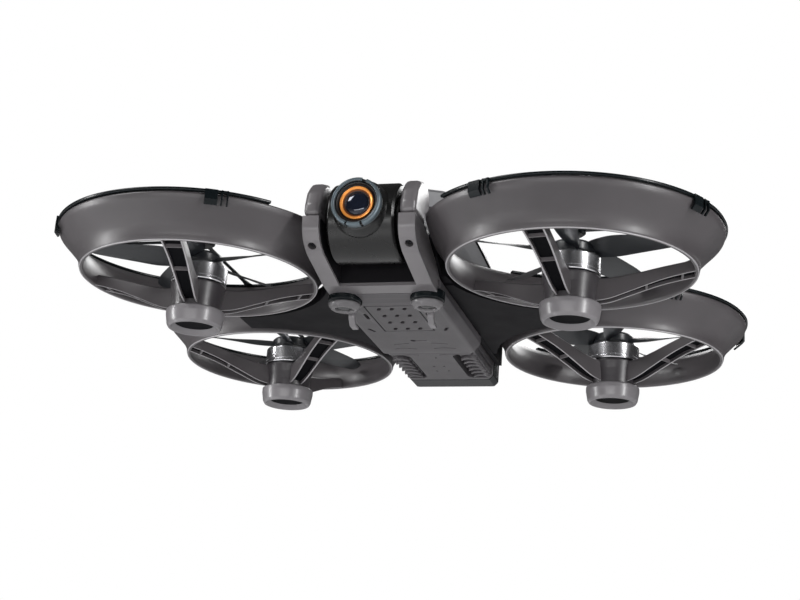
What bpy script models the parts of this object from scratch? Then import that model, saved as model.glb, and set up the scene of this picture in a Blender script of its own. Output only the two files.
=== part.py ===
"""A ducted FPV racing drone with four shrouded rotors, a tilting camera and a slide-out battery.

Units in the constants are millimetres. The nose points to -Y, +X is the right side as seen by
someone who faces the nose, and +Z is up. The origin is on the ground, under the middle.
"""

import math

import bmesh
import bpy
from mathutils import Matrix, Vector

MM = 0.001

# ---- driving dimensions ---------------------------------------------------------------------
HUB_X = 65.2  # rotor axes, left and right of the middle
HUB_Y = 51.1  # rotor axes, ahead of and behind the middle
RIM_Z = 17.6  # underside of the ducts above the ground
DUCT_RIM_R = 41.5  # outer radius of a duct's lower rim
LIP_R = 49.8  # outer radius of a duct's upper lip
DUCT_H = 13.7
PROP_R = 38.1  # 3-inch propeller
BLADES = 5
BODY_HALF_W = 19.8  # fuselage
BELLY_HALF_W = 17.5
NOSE_Y = -52.0  # front bulkhead, behind the camera
TAIL_Y = 60.0
BATTERY_FRONT_Y = 20.6
BATTERY_BACK_Y = 68.0
BATTERY_HALF_W = 17.2
TOP_STATIONS = (  # y, narrowing and drop of the top cover
    (-52.0, 1.0, 1.2),
    (-46.0, 0.0, 0.0),
    (10.0, 1.5, 0.6),
    (44.0, 5.0, 4.4),
    (60.0, 8.0, 12.0),
)
TILT_Y = -66.4  # camera tilt axis
TILT_Z = RIM_Z + 13.0
LENS_Z = TILT_Z + 1.1  # optical axis, just above the tilt axis
DRUM_R = 13.2
DRUM_HALF_W = 12.1
LENS_FRONT_Y = -84.8
LENS_BORE_R = 7.7
ARM_IN_X = 13.4  # camera fork arms
ARM_OUT_X = 19.0
SENSOR_X = 14.7  # downward-looking sensors
SENSOR_Y = -41.4
SENSOR_R = 5.8
SCREW_X = 16.4  # fork screws, sunk in the bend of each arm
SCREW_Y = -76.0
SCREW_Z = RIM_Z + 2.2
SCREW_TILT = -40  # degrees that a screw leans towards the nose
SEAM_Z = RIM_Z + 11.3  # split line between each fork arm and its cap
FAN_Y = -28.6  # axis of the cooling fan
LATCH_Y = (23.0, 54.2)  # reach of each battery latch
BUTTON_Z = RIM_Z + 6  # power button, in the middle of the battery's back
BUTTON_R = 3.0
FOOT_TOP_Z = 6.3
BELL_R = 9.65
GAP = 0.3  # clearance between neighbouring pieces
ROUND_STEPS = 40  # facets of a duct
SMALL_STEPS = 20  # facets of a motor-sized piece
TINY_STEPS = 12  # facets of a pin

CORNERS = {  # name: (side, end), where side +1 is +X and end -1 is the nose
    "front_left": (-1, -1),
    "front_right": (1, -1),
    "rear_left": (-1, 1),
    "rear_right": (1, 1),
}
# Directions of the three struts and the guard's clips, in degrees, on the +X side.
STRUT_ANGLES = {-1: (-98, 8, 150), 1: (-130, -30, 100)}
CLIP_ANGLES = {-1: (-116, -29, 58), 1: (-58, 23, 116)}
GUARD_ARC = {-1: (-137, 125), 1: (-125, 137)}
SPOKE_ANGLES = (0, 90, 270)


# ---- modelling helpers ----------------------------------------------------------------------
def clear_scene():
    for obj in list(bpy.data.objects):
        bpy.data.objects.remove(obj)


def material(name, color, roughness=0.5, metallic=0.0, alpha=1.0):
    made = bpy.data.materials.new(name)
    made.use_nodes = True
    shader = made.node_tree.nodes["Principled BSDF"]
    shader.inputs["Base Color"].default_value = (*color, 1.0)
    shader.inputs["Roughness"].default_value = roughness
    shader.inputs["Metallic"].default_value = metallic
    shader.inputs["Alpha"].default_value = alpha
    return made


def add(name, bm, mat=None, helper=False):
    """Makes an object from a bmesh whose coordinates are in millimetres."""
    bmesh.ops.remove_doubles(bm, verts=bm.verts, dist=1e-4)
    bmesh.ops.recalc_face_normals(bm, faces=bm.faces)
    bmesh.ops.scale(bm, vec=(MM, MM, MM), verts=bm.verts)
    mesh = bpy.data.meshes.new(name)
    bm.to_mesh(mesh)
    bm.free()
    mesh.shade_smooth()
    mesh.set_sharp_from_angle(angle=math.radians(35))
    obj = bpy.data.objects.new(name, mesh)
    bpy.context.scene.collection.objects.link(obj)
    if mat:
        mesh.materials.append(mat)
    if helper:
        obj.hide_render = True
        obj.display_type = "WIRE"
    return obj


def prism_mesh(outline, low, high, axis="Z"):
    """A closed outline extruded along one axis: (x, y) for Z, (y, z) for X, (x, z) for Y."""
    bm = bmesh.new()
    place = {
        "Z": lambda a, b, c: (a, b, c),
        "X": lambda a, b, c: (c, a, b),
        "Y": lambda a, b, c: (a, c, b),
    }[axis]
    face = bm.faces.new([bm.verts.new(place(a, b, low)) for a, b in outline])
    made = bmesh.ops.extrude_face_region(bm, geom=[face])
    moved = [item for item in made["geom"] if isinstance(item, bmesh.types.BMVert)]
    step = Vector(place(0, 0, high)) - Vector(place(0, 0, low))
    bmesh.ops.translate(bm, vec=step, verts=moved)
    return bm


def loft_mesh(sections):
    """A closed skin through (y, [(x, z), ...]) sections that all have as many points."""
    bm = bmesh.new()
    rings = [[bm.verts.new((x, y, z)) for x, z in points] for y, points in sections]
    for first, second in zip(rings, rings[1:]):
        for i in range(len(first)):
            j = (i + 1) % len(first)
            bm.faces.new((first[i], first[j], second[j], second[i]))
    bm.faces.new(rings[0][::-1])
    bm.faces.new(rings[-1])
    return bm


def box_mesh(x, y, z):
    return prism_mesh([(x[0], y[0]), (x[1], y[0]), (x[1], y[1]), (x[0], y[1])], z[0], z[1])


def lathe_mesh(profile, steps, centre=(0, 0, 0), axis="Z", start=0.0, sweep=360.0):
    """A closed (radius, height) profile turned about an axis through centre.

    Heights run along the axis. A sweep under 360 degrees is capped at both ends.
    """
    bm = bmesh.new()
    full = sweep >= 360.0
    first = [bm.verts.new((r, 0, h)) for r, h in profile]
    edges = [bm.edges.new((a, b)) for a, b in zip(first, first[1:] + first[:1])]
    geometry = first + edges
    if not full:
        geometry.append(bm.faces.new(first))
    bmesh.ops.rotate(bm, matrix=Matrix.Rotation(math.radians(start), 3, "Z"), verts=first)
    bmesh.ops.spin(
        bm,
        geom=geometry,
        axis=(0, 0, 1),
        cent=(0, 0, 0),
        steps=steps,
        angle=math.radians(sweep),
        use_merge=full,
        use_duplicate=False,
    )
    bmesh.ops.remove_doubles(bm, verts=bm.verts, dist=1e-4)
    on_axis = [edge for edge in bm.edges if all(v.co.xy.length < 1e-4 for v in edge.verts)]
    if on_axis:
        bmesh.ops.delete(bm, geom=on_axis, context="EDGES")
    turn = {
        "Z": Matrix.Identity(3),
        "Y": Matrix.Rotation(math.radians(90), 3, "X"),  # heights run to -Y
        "X": Matrix.Rotation(math.radians(90), 3, "Y"),  # heights run to +X
    }[axis]
    bmesh.ops.rotate(bm, matrix=turn, verts=bm.verts)
    bmesh.ops.translate(bm, vec=centre, verts=bm.verts)
    return bm


def disc(radius, low, high):
    return [(0, low), (radius, low), (radius, high), (0, high)]


def tube(inner, outer, low, high):
    return [(inner, low), (outer, low), (outer, high), (inner, high)]


def boolean(target, other, operation):
    """Adds a Boolean modifier, and keeps the other object as a hidden helper."""
    other.hide_render = True
    other.display_type = "WIRE"
    modifier = target.modifiers.new(f"{operation}_{other.name}", "BOOLEAN")
    modifier.operation = operation
    modifier.solver = "EXACT"
    modifier.object = other
    return target


def cut(target, bm, label):
    return boolean(target, add(f"{target.name}_{label}", bm, helper=True), "DIFFERENCE")


def join(target, bm, label):
    return boolean(target, add(f"{target.name}_{label}", bm, helper=True), "UNION")


def bevel(obj, width, segments=1, limit=40):
    modifier = obj.modifiers.new("edges", "BEVEL")
    modifier.width = width * MM
    modifier.segments = segments
    modifier.limit_method = "ANGLE"
    modifier.angle_limit = math.radians(limit)
    modifier.use_clamp_overlap = True
    return obj


def turned_to_side(angles, side):
    """Angles given for the +X side, mirrored where side is -1."""
    return [angle if side > 0 else 180 - angle for angle in angles]


def hub_centre(corner, z=0.0):
    side, end = CORNERS[corner]
    return Vector((side * HUB_X, end * HUB_Y, z))


def at_hub(bm, corner, z=0.0):
    bmesh.ops.translate(bm, vec=hub_centre(corner, z), verts=bm.verts)
    return bm


# ---- ducts, motor mounts, feet and guards ---------------------------------------------------
def strut_mesh(angle):
    """A curved web from the motor cup to the duct wall, wider towards the duct."""
    root, tip = 6.0, 40.7
    lower = [(root, -10.6), (13, -9.4), (20, -6.4), (29, -2.9), (36, -0.7), (tip, 0.3)]
    upper = [(tip, 4.0), (30, 1.6), (21, -1.0), (13, -2.6), (root, -2.9)]
    bm = prism_mesh([(r, z) for r, z in lower + upper], -1, 1, "Y")
    for vert in bm.verts:
        share = (vert.co.x - root) / (tip - root)
        vert.co.y *= 2.4 + 1.2 * share
    bmesh.ops.rotate(bm, matrix=Matrix.Rotation(math.radians(angle), 3, "Z"), verts=bm.verts)
    return bm


def make_duct(corner, mat):
    """A shroud ring, trimmed beside the fuselage, with three struts and the motor's cup."""
    side, end = CORNERS[corner]
    outer = [(DUCT_RIM_R, 0), (42.2, 3.2), (43.8, 5.6), (46.8, 8.6), (49.3, 11.4)]
    lip = [(LIP_R, DUCT_H - 0.6), (LIP_R - 1.2, DUCT_H)]
    inner = [(45.4, 12.6), (41.4, 9.6), (39.5, 6.0), (39.8, 0)]
    ring = lathe_mesh(outer + lip + inner, ROUND_STEPS)
    duct = add(f"duct_{corner}", at_hub(ring, corner, RIM_Z), mat)
    inside = sorted((0.0, side * (BODY_HALF_W + 2 * GAP)))
    block = box_mesh(inside, sorted((0, end * 120)), (RIM_Z - 5, RIM_Z + 20))
    cut(duct, block, "fuselage_side")
    cup = [(0, -11.0), (8.4, -11.0), (8.9, -6.5), (9.6, -2.3), (0, -2.3)]
    join(duct, at_hub(lathe_mesh(cup, SMALL_STEPS), corner, RIM_Z), "cup")
    for index, angle in enumerate(turned_to_side(STRUT_ANGLES[end], side)):
        join(duct, at_hub(strut_mesh(angle), corner, RIM_Z), f"strut_{index}")
    return duct


def make_foot(corner, mat):
    """A tapered rubber foot with a shallow dish in its underside."""
    profile = [(0, 1.9), (6.8, 1.9), (8.1, 0), (8.9, 0), (9.6, 1.2), (10.1, 4.6), (10.1, 5.8)]
    profile += [(9.7, FOOT_TOP_Z), (0, FOOT_TOP_Z)]
    return add(f"foot_{corner}", at_hub(lathe_mesh(profile, SMALL_STEPS), corner), mat)


def make_guard(corner, mat):
    """A clip-on finger guard: an open hoop on the duct's lip, three spokes and three clips."""
    side, end = CORNERS[corner]
    low, high = DUCT_H + GAP, DUCT_H + 1.3
    start, stop = GUARD_ARC[end]
    if side < 0:
        start, stop = 180 - stop, 180 - start
    hoop = lathe_mesh(tube(48.2, 50.4, low, high), 32, start=start, sweep=stop - start)
    guard = add(f"guard_{corner}", at_hub(hoop, corner, RIM_Z), mat)
    for index, angle in enumerate(turned_to_side(SPOKE_ANGLES, side)):
        bar = box_mesh((3.5, 49.5), (-0.7, 0.7), (low + 0.05, high - 0.05))
        turn = Matrix.Rotation(math.radians(angle), 3, "Z")
        bmesh.ops.rotate(bar, matrix=turn, verts=bar.verts)
        join(guard, at_hub(bar, corner, RIM_Z), f"spoke_{index}")
    boss = lathe_mesh(disc(4.4, low - 1.2, high + 0.1), TINY_STEPS)
    join(guard, at_hub(boss, corner, RIM_Z), "boss")
    tab = [(48.9, 10.2), (50.15, 11.6), (50.15, high - 0.1), (50.9, high - 0.1)]
    tab += [(50.9, 11.4), (49.6, 9.8)]
    for index, angle in enumerate(turned_to_side(CLIP_ANGLES[end], side)):
        clip = prism_mesh(tab, -4.2, 4.2, "Y")
        turn = Matrix.Rotation(math.radians(angle), 3, "Z")
        bmesh.ops.rotate(clip, matrix=turn, verts=clip.verts)
        join(guard, at_hub(clip, corner, RIM_Z), f"clip_{index}")
    return guard


# ---- motors and propellers ------------------------------------------------------------------
def make_stator(corner, mat):
    profile = [(2.0, -2.0), (8.2, -2.0), (8.2, -1.0), (7.8, -1.0), (7.8, 3.5), (2.0, 3.5)]
    ring = lathe_mesh(profile, SMALL_STEPS)
    return add(f"motor_stator_{corner}", at_hub(ring, corner, RIM_Z), mat)


def make_bell(corner, mat):
    """The motor's turning can, with its shaft."""
    profile = [(0, -1.6), (1.4, -1.6), (1.4, 3.9), (8.6, 3.9), (8.6, -1.8), (BELL_R, -1.8)]
    profile += [(BELL_R, 4.3), (BELL_R - 0.7, 5.0), (0, 5.0)]
    bell = lathe_mesh(profile, SMALL_STEPS)
    return add(f"motor_bell_{corner}", at_hub(bell, corner, RIM_Z), mat)


def blade_mesh(angle, hand):
    """One lofted blade along +X, turned to its angle. hand is +1 or -1 for the two spins."""
    stations = [  # radius, chord, pitch in degrees, sweep of the mid-chord
        (6.2, 6.4, 34, 0.0),
        (15.0, 9.4, 28, 0.9),
        (30.0, 8.2, 17, 0.8),
        (PROP_R, 3.8, 13, -1.2),
    ]
    thickness = 0.9
    bm = bmesh.new()
    rings = []
    for radius, chord, pitch, sweep in stations:
        tilt = math.radians(pitch) * hand
        section = []
        for u, v in ((-0.5, 0), (-0.1, 0.5), (0.5, 0), (0.1, -0.35)):
            along, up = u * chord, v * thickness
            y = along * math.cos(tilt) - up * math.sin(tilt) + sweep * hand
            z = along * math.sin(tilt) + up * math.cos(tilt)
            section.append(bm.verts.new((radius, y, z + 7.1)))
        rings.append(section)
    for first, second in zip(rings, rings[1:]):
        for i in range(len(first)):
            j = (i + 1) % len(first)
            bm.faces.new((first[i], first[j], second[j], second[i]))
    bm.faces.new(rings[0][::-1])
    bm.faces.new(rings[-1])
    bmesh.ops.rotate(bm, matrix=Matrix.Rotation(math.radians(angle), 3, "Z"), verts=bm.verts)
    return bm


def make_propeller(corner, mat):
    side, end = CORNERS[corner]
    hand = side * end
    profile = [(0, 5.3), (7.6, 5.3), (7.6, 8.6), (6.6, 9.4), (3.0, 9.9), (0, 10.0)]
    hub = lathe_mesh(profile, SMALL_STEPS)
    propeller = add(f"propeller_{corner}", at_hub(hub, corner, RIM_Z), mat)
    for index in range(BLADES):
        angle = 60 + index * 360 / BLADES
        join(propeller, at_hub(blade_mesh(angle, hand), corner, RIM_Z), f"blade_{index}")
    return propeller


# ---- fuselage -------------------------------------------------------------------------------
def make_mid_frame(mat):
    """The black chassis: two side walls, two bulkheads, a deck, and the webs between the ducts."""
    z = RIM_Z
    wall_in = BATTERY_HALF_W + 0.4
    low, high = z + 0.4, z + 14.0
    frame = add("mid_frame", box_mesh((wall_in, BODY_HALF_W), (NOSE_Y, TAIL_Y), (low, high)), mat)
    left = box_mesh((-BODY_HALF_W, -wall_in), (NOSE_Y, TAIL_Y), (low, high))
    join(frame, left, "left_wall")
    nose = box_mesh((-wall_in - 1, wall_in + 1), (NOSE_Y, NOSE_Y + 2.0), (low + 0.5, high - 0.5))
    join(frame, nose, "nose_bulkhead")
    bay = (BATTERY_FRONT_Y - 2.4, BATTERY_FRONT_Y - 0.6)
    join(frame, box_mesh((-wall_in - 1, wall_in + 1), bay, (low + 0.5, high - 0.5)), "bay_wall")
    web_z = (z + 0.6, z + 5.6)
    for side, label in ((1, "right"), (-1, "left")):
        reach = sorted((side * (BODY_HALF_W - 0.8), side * (HUB_X + 0.8)))
        join(frame, box_mesh(reach, (-44.0, 44.0), web_z), f"{label}_web")
    for corner in CORNERS:
        opening = lathe_mesh(disc(DUCT_RIM_R + 3.1, -4, 9), ROUND_STEPS)
        cut(frame, at_hub(opening, corner, z), f"{corner}_opening")
    notch = [(-60, z - 1), (-60, z + 9.7), (-50, z + 5.4), (-44, z + 2.0), (-38.2, z + 1.2)]
    for side, label in ((1, "right"), (-1, "left")):
        reach = sorted((side * 17.2, side * 25))
        cut(frame, prism_mesh(notch + [(-38.2, z - 1)], *reach, "X"), f"{label}_cheek_notch")
    return frame


def belly_section(rise):
    """The lower cover's section as (x, z): a flat floor with chamfered sides."""
    z = RIM_Z
    half = [(BELLY_HALF_W - rise, z - 6 + rise), (BODY_HALF_W, z - 2.5), (BODY_HALF_W, z + 0.1)]
    return [(-x, height) for x, height in half] + half[::-1]


def make_belly(mat):
    """The lower front cover: a tray that holds the vent panel and the sensors."""
    z = RIM_Z
    front, back = -45.4, BATTERY_FRONT_Y - GAP
    sections = [(front, belly_section(1.6)), (-39.0, belly_section(0)), (back, belly_section(0))]
    belly = add("belly_shell", loft_mesh(sections), mat)
    hollow = box_mesh((-16.0, 16.0), (front + 9.4, back + 5), (z - 3.6, z + 5))
    cut(belly, hollow, "hollow")
    window = box_mesh((-9.3, 9.3), (-36.9, -8.0), (z - 9, z + 1))
    cut(belly, window, "panel_window")
    for side, label in ((-1, "left"), (1, "right")):
        slot = box_mesh(sorted((side * 10.6, side * 12.0)), (-28.5, -22.5), (z - 9, z - 2))
        cut(belly, slot, f"{label}_slot")
        cut(belly, sensor_socket(side), f"{label}_sensor_socket")
    return belly


def make_vent_panel(mat):
    """The inset grille over the fan, with three columns and four rows of slanted slots."""
    z = RIM_Z
    panel = add("vent_panel", box_mesh((-9.0, 9.0), (-36.6, -8.3), (z - 6.0, z - 4.4)), mat)
    for row in range(4):
        for column in (-1, 0, 1):
            slot = box_mesh((-0.6, 0.6), (-1.4, 1.4), (z - 8, z - 2))
            turn = Matrix.Rotation(math.radians(18), 3, "Z")
            bmesh.ops.rotate(slot, matrix=turn, verts=slot.verts)
            place = (column * 4.6, -33.6 + row * 7.6, 0)
            bmesh.ops.translate(slot, vec=place, verts=slot.verts)
            cut(panel, slot, f"slot_{row}_{column + 1}")
    return panel


def make_top_shell(mat):
    """The upper cover: a hood with sloped shoulders, closed at the nose and tail."""
    z = RIM_Z
    low = z + 14.3
    sections = []
    for y, narrow, drop in TOP_STATIONS:
        half = [(BODY_HALF_W - narrow * 0.3, low), (23.6 - narrow, z + 18.0 - drop * 0.2)]
        half += [(26.6 - narrow, z + 22.5 - drop * 0.5), (26.2 - narrow, z + 26.4 - drop * 0.7)]
        half += [(21.5 - narrow, z + 30.0 - drop * 0.9), (12.0 - narrow, z + 31.6 - drop)]
        sections.append((y, [(-x, height) for x, height in half] + half[::-1]))
    shell = add("top_shell", loft_mesh(sections), mat)
    inner = [(-17.6, low - 4), (17.6, low - 4), (17.6, z + 20.5), (12.0, z + 25.4)]
    inner += [(-12.0, z + 25.4), (-17.6, z + 20.5)]
    return cut(shell, prism_mesh(inner, NOSE_Y + 3, TAIL_Y - 24, "Y"), "hollow")


def fork_profile():
    """Side view (y, z) of the camera fork's lower arms, from the crossbar to the split line."""
    z = RIM_Z
    below = [(-45.7, z - 4.4), (-53.0, z - 3.8), (-73.0, z + 0.6), (-77.0, z + 2.8)]
    front = [(-79.4, z + 6.0), (-80.4, SEAM_Z)]
    behind = [(-62.0, SEAM_Z), (-61.0, z + 9.4), (-50.0, z + 5.0), (-44.0, z + 1.6)]
    behind += [(-38.6, z + 0.8), (-38.6, z + 0.4), (-45.7, z + 0.4)]
    return below + front + behind


def cap_profile():
    """Side view (y, z) of a fork arm's cap, a rounded hood over the tilt pivot."""
    z = RIM_Z
    front = [(-80.4, SEAM_Z + GAP), (-80.0, z + 16.4), (-78.4, z + 20.6), (-75.4, z + 24.0)]
    top = [(-71.0, z + 25.9), (-66.0, z + 26.1), (-62.6, z + 24.6), (-61.6, z + 21.0)]
    return front + top + [(-62.0, SEAM_Z + GAP)]


def pivot_bore(side, radius):
    low, high = sorted((side * (ARM_IN_X - 3), side * (ARM_IN_X + 3.6)))
    return lathe_mesh(disc(radius, low, high), TINY_STEPS, (0, TILT_Y, TILT_Z), "X")


def sensor_socket(side):
    place = (side * SENSOR_X, SENSOR_Y, 0)
    return lathe_mesh(disc(SENSOR_R + GAP, RIM_Z - 12, RIM_Z - 2.4), SMALL_STEPS, place)


def along_screw(profile, side, steps=TINY_STEPS):
    """A profile turned about the axis of a fork screw. Height 0 is at the arm's outer face."""
    bm = lathe_mesh(profile, steps)
    bmesh.ops.rotate(bm, matrix=Matrix.Rotation(math.radians(SCREW_TILT), 3, "X"), verts=bm.verts)
    bmesh.ops.translate(bm, vec=(side * SCREW_X, SCREW_Y, SCREW_Z), verts=bm.verts)
    return bm


def make_yoke(mat):
    """The fork that carries the camera: a crossbar under the nose and two arms."""
    z = RIM_Z
    yoke = add("front_yoke", prism_mesh(fork_profile(), -ARM_OUT_X, ARM_OUT_X, "X"), mat)
    bevel(yoke, 0.8)
    bay = [(-90.0, z - 8), (-52.6, z - 8), (-52.3, z + 20), (-90.0, z + 20)]
    cut(yoke, prism_mesh(bay, -ARM_IN_X, ARM_IN_X, "X"), "camera_bay")
    behind = box_mesh((-17.5, 17.5), (NOSE_Y - GAP, -30), (z + 0.1, z + 20))
    cut(yoke, behind, "bulkhead_room")
    for side, label in ((-1, "left"), (1, "right")):
        cut(yoke, pivot_bore(side, 2.7), f"{label}_pivot_bore")
        cut(yoke, along_screw(disc(1.45, -3, 4.6), side), f"{label}_screw_hole")
        cut(yoke, sensor_socket(side), f"{label}_sensor_socket")
    return yoke


def make_yoke_cap(side, label, mat):
    low, high = sorted((side * ARM_IN_X, side * ARM_OUT_X))
    cap = add(f"yoke_cap_{label}", prism_mesh(cap_profile(), low, high, "X"), mat)
    cut(cap, pivot_bore(side, 2.7), "pivot_bore")
    return bevel(cap, 0.9, 2)


def make_sensor(side, label, shell, glass):
    """A round downward-looking sensor in its domed housing."""
    z = RIM_Z
    place = (side * SENSOR_X, SENSOR_Y, 0)
    dome = [(0, z - 8.0), (3.1, z - 8.0), (3.4, z - 8.8), (4.4, z - 8.6), (5.5, z - 7.2)]
    dome += [(SENSOR_R, z - 6.3), (SENSOR_R, z - 2.8), (0, z - 2.8)]
    housing = add(f"sensor_housing_{label}", lathe_mesh(dome, SMALL_STEPS, place), shell)
    lens = lathe_mesh(disc(2.8, z - 8.7, z - 8.3), TINY_STEPS, place)
    return housing, add(f"sensor_lens_{label}", lens, glass)


def make_skid_fin(side, label, mat):
    """A small hooked fin under the belly, behind each sensor."""
    z = RIM_Z - 6.3
    outline = [(-35.0, z), (-34.4, z - 3.4), (-31.6, z - 5.4), (-28.2, z - 5.4)]
    outline += [(-28.4, z - 4.4), (-31.0, z - 3.6), (-32.2, z)]
    low, high = sorted((side * 13.4, side * 15.2))
    return add(f"skid_fin_{label}", prism_mesh(outline, low, high, "X"), mat)


# ---- camera ---------------------------------------------------------------------------------
def towards_nose(profile, steps=SMALL_STEPS):
    """A profile turned about the optical axis. Its heights are distances ahead of the tilt axis."""
    return lathe_mesh(profile, steps, (0, TILT_Y, LENS_Z), "Y")


def make_camera(mats):
    """The tilting drum, its lens boss, and the pieces of the lens."""
    front = TILT_Y - LENS_FRONT_Y
    body = lathe_mesh(disc(DRUM_R, -DRUM_HALF_W, DRUM_HALF_W), 36, (0, TILT_Y, TILT_Z), "X")
    drum = add("camera_drum", body, mats["drum"])
    boss = [(0, 2), (9.8, 2), (9.7, front - 6), (8.7, front - 2.7), (0, front - 2.7)]
    join(drum, towards_nose(boss), "lens_boss")
    cut(drum, towards_nose(disc(LENS_BORE_R, -4, front + 3)), "lens_bore")
    for side, label in ((-1, "left"), (1, "right")):
        low, high = sorted((side * (DRUM_HALF_W - 3.2), side * (DRUM_HALF_W + 2)))
        bore = lathe_mesh(disc(2.45, low, high), TINY_STEPS, (0, TILT_Y, TILT_Z), "X")
        cut(drum, bore, f"{label}_pivot_bore")
    barrel = [(0, 0), (LENS_BORE_R - GAP, 0), (LENS_BORE_R - GAP, front - 2.0)]
    barrel += [(6.6, front - 0.9), (5.7, front - 1.6)]
    barrel += [(5.7, front - 2.6), (0, front - 2.6)]
    add("lens_barrel", towards_nose(barrel), mats["barrel"])
    bezel = [(7.7, front - 2.4), (8.35, front - 2.4), (8.35, front - 0.4), (7.95, front)]
    bezel += [(7.1, front), (7.1, front - 0.5), (7.7, front - 1.4)]
    add("lens_bezel", towards_nose(bezel), mats["bezel"])
    accent = [(4.1, front - 2.3), (5.4, front - 2.3), (5.4, front - 1.5), (4.1, front - 1.9)]
    add("lens_accent_ring", towards_nose(accent), mats["accent"])
    dome = [(0, front - 2.3), (3.8, front - 2.3), (3.4, front - 1.7), (2.0, front - 1.3)]
    add("lens_glass", towards_nose(dome + [(0, front - 1.2)]), mats["glass"])
    board = box_mesh((-4.5, 4.5), (TILT_Y + 0.5, TILT_Y + 1.7), (LENS_Z - 4.5, LENS_Z + 4.5))
    add("image_sensor", board, mats["board"])


def make_pivot(side, label, mat):
    """The pin that carries one end of the camera drum in its fork arm."""
    low, high = sorted((side * (DRUM_HALF_W - 2.6), side * (ARM_IN_X + 3.0)))
    pin = lathe_mesh(disc(2.25, low, high), TINY_STEPS, (0, TILT_Y, TILT_Z), "X")
    return add(f"camera_pivot_{label}", pin, mat)


def make_yoke_screw(side, label, mat):
    head = [(0, 2.4), (0.5, 2.4), (0.5, 1.9), (1.15, 1.9), (1.15, 3.0), (0.7, 3.0)]
    head += [(0.7, 4.2), (0, 4.2)]
    return add(f"yoke_screw_{label}", along_screw(head, side), mat)


# ---- battery and electronics ----------------------------------------------------------------
def make_battery(mats):
    """The slide-out pack with two ribbed release latches and a power button."""
    z = RIM_Z
    half = BATTERY_HALF_W
    section = [(-half + 1.6, z - 6), (half - 1.6, z - 6), (half, z - 4.4), (half, z + 12.2)]
    section += [(half - 1.4, z + 13.6), (-half + 1.4, z + 13.6), (-half, z + 12.2)]
    section += [(-half, z - 4.4)]
    body = prism_mesh(section, BATTERY_FRONT_Y, BATTERY_BACK_Y, "Y")
    pack = add("battery_pack", body, mats["pack"])
    for side, label in ((-1, "left"), (1, "right")):
        reach = sorted((side * 8.2, side * (half + 5)))
        cut(pack, box_mesh(reach, (LATCH_Y[0] - 0.4, LATCH_Y[1] + 0.4), (z - 10, z - 1.6)), f"{label}_latch_room")
        reach = sorted((side * 10.0, side * (half - 0.5)))
        latch = box_mesh(reach, LATCH_Y, (z - 5.9, z - 2.0))
        bevel(add(f"battery_latch_{label}", latch, mats["latch"]), 0.6)
    place = (0, BATTERY_BACK_Y, BUTTON_Z)
    room = lathe_mesh(disc(BUTTON_R + 0.4, -3, 2.4), TINY_STEPS, place, "Y")
    cut(pack, room, "button_room")
    button = disc(BUTTON_R, -0.6, 1.0)
    add("power_button", lathe_mesh(button, TINY_STEPS, place, "Y"), mats["button"])


def make_electronics(mats):
    """What the fuselage holds: main board, heat sink, fan and battery connector."""
    z = RIM_Z
    add("main_board", box_mesh((-15, 15), (-48, 8), (z + 8.4, z + 10.0)), mats["board"])
    sink = add("heat_sink", box_mesh((-12, 12), (-18.5, 6), (z + 2.4, z + 8.1)), mats["metal"])
    for index in range(4):
        low = -9.6 + index * 5.4
        fin_gap = box_mesh((low, low + 3.0), (-30, 20), (z - 1, z + 5.4))
        cut(sink, fin_gap, f"fin_gap_{index}")
    hub = lathe_mesh(disc(3.2, z - 2.4, z + 1.6), TINY_STEPS, (0, FAN_Y, 0))
    fan = add("fan_rotor", hub, mats["fan"])
    for index in range(5):
        blade = box_mesh((2.6, 7.4), (-0.35, 0.35), (z - 1.9, z + 1.1))
        bmesh.ops.rotate(
            blade, matrix=Matrix.Rotation(math.radians(24), 3, "X"), cent=(0, 0, z), verts=blade.verts
        )
        turn = Matrix.Rotation(math.radians(72 * index), 3, "Z")
        bmesh.ops.rotate(blade, matrix=turn, verts=blade.verts)
        bmesh.ops.translate(blade, vec=(0, FAN_Y, 0), verts=blade.verts)
        join(fan, blade, f"blade_{index}")
    plug = box_mesh((-8, 8), (7.0, BATTERY_FRONT_Y - 2.7), (z + 1.0, z + 7.0))
    add("battery_connector", plug, mats["connector"])


def place_origins():
    """Puts each moving piece's origin on its joint's axis. The shapes stay where they are."""
    tilt = Vector((0, TILT_Y, TILT_Z))
    lens = ("lens_barrel", "lens_bezel", "lens_accent_ring", "lens_glass", "image_sensor")
    origins = {name: tilt for name in ("camera_drum", *lens)}
    origins["fan_rotor"] = Vector((0, FAN_Y, RIM_Z))
    origins["battery_pack"] = Vector((0, BATTERY_FRONT_Y, BUTTON_Z))
    origins["power_button"] = Vector((0, BATTERY_BACK_Y, BUTTON_Z))
    for side, label in ((-1, "left"), (1, "right")):
        place = (side * BATTERY_HALF_W, sum(LATCH_Y) / 2, RIM_Z - 4)
        origins[f"battery_latch_{label}"] = Vector(place)
    for corner in CORNERS:
        origins[f"motor_bell_{corner}"] = hub_centre(corner, RIM_Z)
        origins[f"propeller_{corner}"] = hub_centre(corner, RIM_Z)
    for name, point in origins.items():
        obj = bpy.data.objects[name]
        obj.data.transform(Matrix.Translation(point * -MM))
        obj.location = point * MM


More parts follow.
